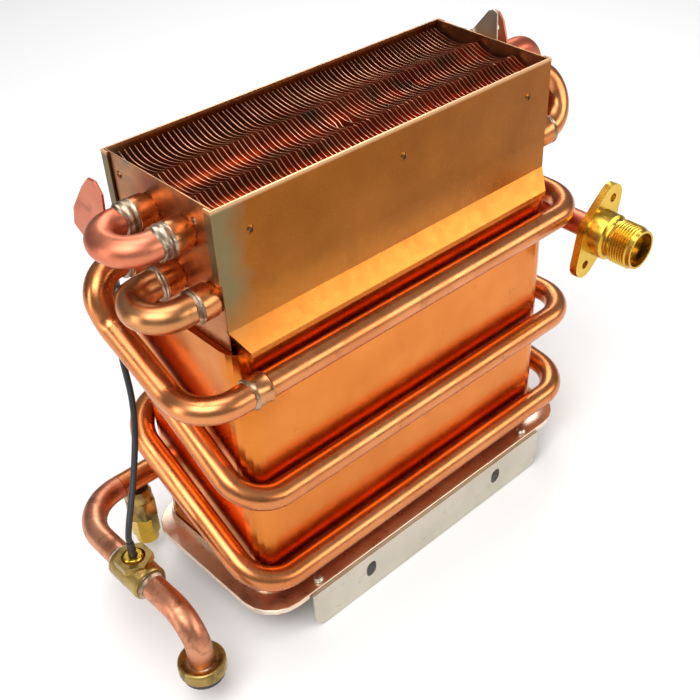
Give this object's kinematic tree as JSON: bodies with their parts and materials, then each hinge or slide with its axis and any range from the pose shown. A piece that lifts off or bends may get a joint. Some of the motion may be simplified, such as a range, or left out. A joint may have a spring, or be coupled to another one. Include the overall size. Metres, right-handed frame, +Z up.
{
  "type": "water heater heat exchanger",
  "caption": "Copper fin-and-tube heat exchanger on a coil-wrapped combustion jacket, with brass water fittings, a temperature sensor lead and steel mounting brackets.",
  "frame": {"origin": "middle of the front bracket's outer face, at the height of its slots", "axes": "+X along the long side towards the threaded outlet, -Y is the front and +Y goes from the front bracket to the rear one, +Z up through the open top of the fin box"},
  "size_m": [0.3491, 0.1671, 0.2835],
  "materials": {
    "sheet_copper": "rolled copper sheet, lightly oxidised",
    "tube_copper": "drawn copper tube, satin",
    "annealed_copper": "flame-annealed copper tube, matt pink to red",
    "fin_copper": "brazed copper fins, dark oxide",
    "brass": "machined brass",
    "solder": "silver solder",
    "bracket_steel": "galvanised steel sheet",
    "rubber": "black rubber",
    "plug_plastic": "moulded nylon plug"
  },
  "bodies": {
    "root": {"fin_pack": "fin_copper", "box_front_sheet": "sheet_copper", "box_rear_sheet": "sheet_copper", "left_end_plate": "sheet_copper", "right_end_plate": "sheet_copper", "combustion_jacket": "sheet_copper", "bottom_flange": "sheet_copper", "front_bracket": "bracket_steel", "rear_bracket": "bracket_steel", "foot_screw_left": "bracket_steel", "foot_screw_right": "bracket_steel", "left_upper_u_bend": "tube_copper", "left_lower_u_bend": "tube_copper", "right_front_u_bend": "tube_copper", "right_rear_u_bend": "tube_copper", "coil_upper_tube": "tube_copper", "coil_main_tube": "tube_copper", "coil_joint_sleeve": "solder", "inlet_pipe_upper": "annealed_copper", "inlet_pipe_lower": "annealed_copper", "sensor_boss": "brass", "sensor_gland": "brass", "temperature_sensor": "rubber", "sensor_lead": "rubber", "lead_plug": "plug_plastic", "inlet_collar": "brass", "inlet_gasket": "rubber", "relief_body": "brass", "relief_nut": "brass", "relief_seal": "rubber", "relief_spring": "bracket_steel", "outlet_pipe": "annealed_copper", "outlet_flange_fitting": "brass", "left_lug": "annealed_copper", "right_lug": "annealed_copper", "steel_tab": "bracket_steel", "tab_screw": "bracket_steel"}
  },
  "joints": []
}
